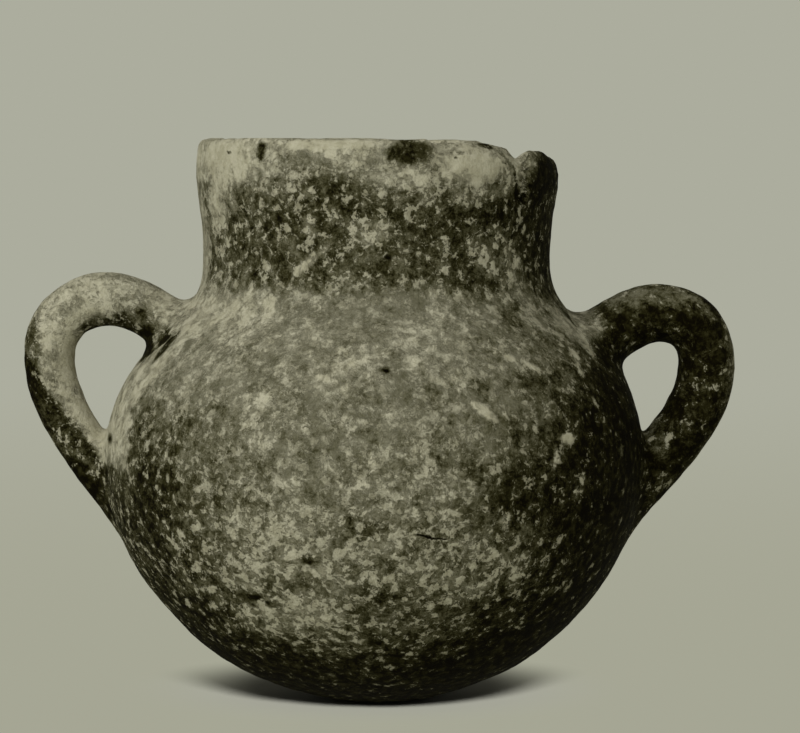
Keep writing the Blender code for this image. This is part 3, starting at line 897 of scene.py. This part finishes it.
class Roll:
    """The line and thickness of a handle's roll, which runs on into the wall at both ends."""

    def __init__(self, side, top, crown, reach, low, radii):
        self.side = side
        places = (self.seat(top[0]), crown, reach, self.seat(low[0]))
        headings = (top[1], 0.0, -90.0, low[1])
        stations = list(zip(map(Vector, places), headings, radii))
        line = []
        for (start, turn_in, thick_in), (stop, turn_out, thick_out) in zip(stations, stations[1:]):
            turned = math.radians(abs(turn_out - turn_in))
            pull = (stop - start).length * (1 + turned**2 / 10)
            for k in range(LINE_STEPS):
                u = k / LINE_STEPS
                place = start.lerp(stop, smooth(u))
                place += pull * u * (1 - u) ** 2 * self.way(turn_in)
                place -= pull * u**2 * (1 - u) * self.way(turn_out)
                line.append((*place, thick_in + (thick_out - thick_in) * smooth(u)))
        line.append((*stations[-1][0], radii[-1]))
        before = stations[0][0] - INTO_WALL * self.way(top[1])
        after = stations[-1][0] + INTO_WALL * self.way(low[1])
        line = np.array([(*before, radii[0]), *line, (*after, radii[-1])])
        steps = np.hypot(*np.diff(line[:, :2], axis=0).T)
        self.gone = np.concatenate([[0.0], np.cumsum(steps)])
        self.line = line
        self.length = self.gone[-1]

    @staticmethod
    def way(heading):
        """The direction of a heading: 0 is straight out and 90 is up."""
        return Vector((math.cos(math.radians(heading)), math.sin(math.radians(heading))))

    def seat(self, height):
        """Where the line meets the wall at a height."""
        return outer_radius(height) + self.side * axis_x(height), height

    def at(self, s):
        """Distance out, height and radius of the line at a length along it."""
        return np.array([np.interp(s, self.gone, column) for column in self.line.T])

    def skin(self, s, around, share=1.0):
        """A point on the roll's skin, or a share of the way out to it."""
        out, up, radius = self.at(s)
        ahead = (self.at(s + 0.001) - self.at(s - 0.001))[:2]
        ahead /= np.hypot(*ahead)
        reach = radius * share
        out -= ahead[1] * reach * math.cos(around)
        up += ahead[0] * reach * math.cos(around)
        return Vector((self.side * out, reach * math.sin(around), up))

    def meets(self, low_end, around, share=1.0):
        """Length along the line at which the roll's skin, or its share, meets the wall."""
        step = SEARCH_STEP if low_end else -SEARCH_STEP
        s = self.length / 2
        while off_wall(self.skin(s, around, share)) > 0:
            s += step
        near, far = s - step, s
        for _ in range(SEARCH_HALVINGS):
            middle = (near + far) / 2
            if off_wall(self.skin(middle, around, share)) > 0:
                near = middle
            else:
                far = middle
        return near


def off_wall(point):
    """How far a point stands off the outside of the jar, square to it."""
    out = math.hypot(point[0] - axis_x(point[2]), point[1]) - outer_radius(point[2])
    return out / math.hypot(1, outer_slope(point[2]))


def wall_normal(point):
    """The direction square out from the wall at a point."""
    out = Vector((point[0] - axis_x(point[2]), point[1], 0.0)).normalized()
    return (out - Vector((0.0, 0.0, outer_slope(point[2])))).normalized()


def settle(point, clear):
    """Moves a point square to the wall until it stands off it by the distance given."""
    for _ in range(SETTLE_ROUNDS):
        point = point + wall_normal(point) * (clear - off_wall(point))
    return point


def root_rings(roll, low_end):
    """Rings of the smeared clay at a root, from the roll down to the wall and into it."""
    back = -1 if low_end else 1
    flare = LOW_FLARE if low_end else TOP_FLARE
    middle = roll.skin(roll.meets(low_end, 0.0, share=0.0), 0.0, share=0.0)
    lines = []
    for k in range(HANDLE_SIDES):
        around = math.tau * k / HANDLE_SIDES
        wide = 1 + flare * math.sin(around) ** 2
        if low_end:
            wide += LOW_TAIL * max(math.cos(around), 0) - LOW_CROTCH * max(-math.cos(around), 0)
        else:
            wide -= TOP_CROTCH * max(-math.cos(around), 0)
        meets = roll.meets(low_end, around)
        crest = roll.skin(meets + back * ROOT_RUN * math.sqrt(wide), around)
        corner = roll.skin(meets, around)
        away = corner - middle
        normal = wall_normal(corner)
        away = (away - normal * away.dot(normal)).normalized()
        foot = settle(corner + away * ROOT_SPREAD * wide, 0.0)
        line = [crest]
        for u in (0.25, 0.5, 0.75):
            line.append(crest * (1 - u) ** 2 + corner * 2 * u * (1 - u) + foot * u**2)
        line.append(foot)
        line.append(settle(corner + away * (ROOT_SPREAD * wide + SKIRT), -SKIRT_SINK))
        line.append(settle(corner + away * ROOT_SPREAD * wide * 0.5, -SINK))
        lines.append(line)
    return [list(row) for row in zip(*lines)]


def make_handle(name, roll):
    """Draws the roll out from the clay in the wall at its upper root to that at its lower one."""
    arounds = [math.tau * k / HANDLE_SIDES for k in range(HANDLE_SIDES)]
    starts = [
        roll.meets(False, a) + ROOT_RUN * math.sqrt(1 + TOP_FLARE * math.sin(a) ** 2)
        for a in arounds
    ]
    stops = [
        roll.meets(True, a) - ROOT_RUN * math.sqrt(1 + LOW_FLARE * math.sin(a) ** 2)
        for a in arounds
    ]
    start = sum(starts) / HANDLE_SIDES
    stop = sum(stops) / HANDLE_SIDES
    rows = root_rings(roll, False)[::-1]
    for k in range(1, HANDLE_RINGS):
        u = k / HANDLE_RINGS
        row = []
        for around, first, last in zip(arounds, starts, stops):
            s = start + (stop - start) * u + (first - start) * (1 - u) ** 4 + (last - stop) * u**4
            row.append(roll.skin(s, around))
        rows.append(row)
    rows += root_rings(roll, True)
    clay = Clay(name, rows[0])
    for row in rows[1:]:
        clay.draw_out(row)
    piece = clay.close()
    apply(piece, "SUBSURF", levels=2, render_levels=2)
    roughen(piece)
    only(piece)
    bpy.ops.object.shade_smooth()
    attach(piece, "root")
    return piece


# A handle takes these below its smoke line, and as painted shade on its faces that look down
SMOKE_AND_SHADE_LIME = 0.20
SMOKE_AND_SHADE_SOOT = 1.20
BACK_MARKS_FADE = 0.7


def paint_handle(piece, lime_and_light, soot_and_shade, smoke, marks, rubbed=0.0):
    """Brushes a handle, which is black below the smoke line (distance out, height), and has painted
    shade underneath.

    The marks are across, height, half width, half height, lean, lime and soot, and are faint at
    the back. The outmost face, where it looks to the right, has lost as much soot as rubbed says.
    """
    co = points_of(piece) * 1000
    facing = np.zeros(len(co) * 3)
    piece.data.vertices.foreach_get("normal", facing)
    # Painted shade on the faces that look down, high on the handle
    underside_shade = smooth(-2.0 * facing[2::3] - 0.4) * smooth((co[:, 2] - 99) / 6)
    line = np.interp(abs(co[:, 0]), *np.array(smoke).T)
    smoke_and_underside_shade = np.maximum(underside_shade, smooth((line - co[:, 2]) / 4.5 + 0.5))
    lime_and_light = lime_and_light + (min(lime_and_light, SMOKE_AND_SHADE_LIME) - lime_and_light) * smoke_and_underside_shade
    soot_and_shade = soot_and_shade + (SMOKE_AND_SHADE_SOOT - soot_and_shade) * smoke_and_underside_shade
    rightward = smooth((facing[0::3] - 0.60) / 0.35) * smooth((co[:, 0] - 88) / 12)
    lime_and_light += 0.5 * rubbed * rightward
    soot_and_shade -= rubbed * rightward
    ahead = 1 - BACK_MARKS_FADE * smooth(co[:, 1] / 5)
    for across, up, wide, tall, lean, more_lime_and_light, more_soot_and_shade in marks:
        weight = patch(co[:, 0] - across, co[:, 2] - up, wide, tall, lean) * ahead
        lime_and_light += more_lime_and_light * weight
        soot_and_shade += more_soot_and_shade * weight
    brush(piece, lime_and_light, soot_and_shade)


# The left handle is the slimmer of the two. Its clay is pale with lime above and blackened below a
# slanting smoke line. It sits high on the shoulder and low on the belly.
left_roll = Roll(
    side=-1,
    top=(0.1170, 35.0),
    crown=(0.0826, 0.1250),
    reach=(0.1010, 0.1076),
    low=(0.0703, -127.0),
    radii=(0.0081, 0.0083, 0.0079, 0.0080),
)
left_handle = make_handle("left_handle", left_roll)
left_handle.data.materials.append(fired_clay("left_handle_clay"))
LEFT_SMOKE = (
    (60, 70),
    (79, 72.5),
    (84.7, 76),
    (87.8, 80.5),
    (91.8, 86.2),
    (95.7, 90),
    (101, 97),
    (104.5, 103.5),
    (108, 107),
    (112, 114),
)
LEFT_MARKS = (
    (-107.5, 109, 6.9, 21.5, 0, -0.55, 0.60),
    (-89.0, 66, 14.0, 6.0, -54, -0.60, 0.10),
    (-75.0, 123, 7.0, 6.0, 0, -0.32, 0.32),
    (-69.5, 119, 5.0, 6.0, 0, -0.42, 0.38),
    # Painted shadow: these two darken the upper root under the arch
    (-70.0, 111.0, 3.6, 8.0, 0, -1.05, 1.10),
    (-64.0, 112, 3.8, 6.8, 0, -0.82, 0.92),
    (-83.0, 71, 6.0, 4.0, 0, -0.10, 0.28),
    (-99.0, 90, 7.0, 9.0, 0, -0.12, 0.15),
    # These two lighten the inner face of the outer arm, which looks away from the window: painted
    # light over its lime
    (-94.0, 108, 5.0, 17.0, -6, 0.45, -0.40),
    (-87.0, 87, 3.6, 15.0, 43, 0.45, -0.40),
    (-88.0, 121, 8.0, 4.0, 0, 0.30, -0.25),
)
paint_handle(left_handle, 0.84, 0.24, LEFT_SMOKE, LEFT_MARKS)
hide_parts("handle_left", "luting_top_left", "luting_low_left")

# The right handle is thicker and stands out further. Its clay is blackened nearly all over, and
# rubbed on its outmost face. It is fixed on the shoulder and the belly as the left one is.
right_roll = Roll(
    side=1,
    top=(0.1122, 40.0),
    crown=(0.0897, 0.1208),
    reach=(0.1041, 0.1057),
    low=(0.0690, -132.0),
    radii=(0.0092, 0.0090, 0.0090, 0.0091),
)
right_handle = make_handle("right_handle", right_roll)
right_handle.data.materials.append(fired_clay("right_handle_clay"))
RIGHT_SMOKE = ((60, 66), (80, 67), (92, 74), (99, 81), (106, 89), (115, 97))
RIGHT_MARKS = (
    # Partly lime and partly painted light on the top of the handle
    (84, 127, 22, 6.0, 0, 0.24, -0.44),
    (63, 117.5, 12, 8.5, 0, 0.60, -0.90),
    (76, 123, 8.0, 4.5, 0, 0.14, -0.20),
    (98, 123, 8.0, 5.0, 0, 0.16, -0.24),
    (87, 83, 5.0, 12.0, 28, 0.36, -0.24),
    (107, 101, 4.0, 13.0, 0, 0.07, -0.07),
    (98, 92, 3.0, 5.0, 0, 0.18, -0.10),
)
paint_handle(right_handle, -0.04, 1.20, RIGHT_SMOKE, RIGHT_MARKS, rubbed=0.60)
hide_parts("handle_right", "luting_top_right", "luting_low_right")

# The ground: a pale sheet that the jar stands on, which runs back out of sight. Far off it takes on
# the tone of the backdrop, so that no horizon shows.
BACKDROP_TONE = (0.413, 0.418, 0.342, 1.0)
NEAR_TONE = (0.378, 0.380, 0.296, 1.0)
SHEET_TONE = (0.125, 0.125, 0.100, 1.0)
SHEET_GRAIN_TONE = (0.129, 0.129, 0.103, 1.0)
SHEET_RADIUS = 9.0
# Only close about the foot does the sheet take light and shadow: how the places on it are moved, to
# have the middle of that at 0, and the distances from there over which it gives way to a plain tone
FOOT_MOVED = (0.0, -0.023, 0.0)
FOOT_NEAR = 0.036
FOOT_FAR = 0.083
bpy.ops.object.select_all(action="DESELECT")
bpy.ops.mesh.primitive_circle_add(vertices=96, radius=SHEET_RADIUS, fill_type="NGON")
ground = bpy.context.object
ground.name = "ground"
ground.data.name = "ground"
sheet = Finish("pale_sheet")
grain = sheet.place().noise(22.0, 4.0)
tone = sheet.mix(grain.step(0.3, 0.7), SHEET_TONE, SHEET_GRAIN_TONE)
sheet.shade(Base_Color=tone, Roughness=0.95)
far = sheet.place().moved(FOOT_MOVED).distance().step(FOOT_NEAR, FOOT_FAR)
plain_tone = sheet.mix(sheet.place().distance().step(0.1, 1.6), NEAR_TONE, BACKDROP_TONE)
plain = sheet.node("Emission", {}, {"Color": plain_tone, "Strength": 1.0})
lit = Tone(sheet, sheet.shader.outputs[0])
surface = sheet.node("MixShader", {}, {0: far, 1: lit, 2: plain})
sheet.fill(sheet.tree.nodes["Material Output"].inputs["Surface"], surface)
ground.data.materials.append(sheet.material)

# The camera stands 1.2 m in front of the jar and level with its lip. Through a long lens it looks
# a little down on the jar, as for the photograph.
bpy.ops.object.camera_add(location=(0.0, -1.2, 0.175))
camera = bpy.context.object
camera.data.lens = 173.6
camera.data.sensor_width = 36.0
camera.data.clip_end = 20.0
aim = Vector((0.00821, 0.0, 0.10393))
camera.rotation_euler = (aim - camera.location).to_track_quat("-Z", "Y").to_euler()
bpy.context.scene.camera = camera

# The light is soft daylight from a broad window, in front and to the left. The sheet on the floor
# has its own light, from low in front, so that only a small shadow lies close about the foot.
bpy.ops.object.light_add(type="SUN", location=(-1.0, -1.5, 1.0))
window = bpy.context.object
window.name = "window"
window.data.energy = 2.5
window.data.angle = math.radians(60.0)
window.rotation_euler = Vector((0.42, 0.78, -0.46)).to_track_quat("-Z", "Y").to_euler()
bpy.ops.object.light_add(type="SUN", location=(-0.2, -2.0, 0.8))
floor_light = bpy.context.object
floor_light.name = "floor_light"
floor_light.data.energy = 18.2
floor_light.data.angle = math.radians(10.0)
floor_light.rotation_euler = Vector((-0.022, 0.920, -0.390)).to_track_quat("-Z", "Y").to_euler()
sheets = bpy.data.collections.new("sheets")
sheets.objects.link(ground)
floor_light.light_linking.receiver_collection = sheets
pots = bpy.data.collections.new("pots")
for piece in (*rings.values(), left_handle, right_handle):
    pots.objects.link(piece)
window.light_linking.receiver_collection = pots

# The room throws back a little warm light from all round, and behind the jar hangs a pale backdrop,
# which is only seen and lights nothing.
ROOM_TONE = (1.0, 0.98, 0.84, 1.0)
ROOM_LIGHT = 0.30
world = bpy.data.worlds.new("room")
world.use_nodes = True
room = world.node_tree.nodes["Background"]
room.inputs["Color"].default_value = ROOM_TONE
room.inputs["Strength"].default_value = ROOM_LIGHT
backdrop = world.node_tree.nodes.new("ShaderNodeBackground")
backdrop.inputs["Color"].default_value = BACKDROP_TONE
seen = world.node_tree.nodes.new("ShaderNodeLightPath")
either = world.node_tree.nodes.new("ShaderNodeMixShader")
link = world.node_tree.links.new
straight = seen.outputs["Is Camera Ray"]
for kind in ("Is Glossy Ray", "Is Transmission Ray"):
    greater = world.node_tree.nodes.new("ShaderNodeMath")
    greater.operation = "MAXIMUM"
    link(straight, greater.inputs[0])
    link(seen.outputs[kind], greater.inputs[1])
    straight = greater.outputs[0]
link(straight, either.inputs[0])
link(room.outputs[0], either.inputs[1])
link(backdrop.outputs[0], either.inputs[2])
link(either.outputs[0], world.node_tree.nodes["World Output"].inputs["Surface"])
bpy.context.scene.world = world
bpy.context.scene.view_settings.view_transform = "Standard"
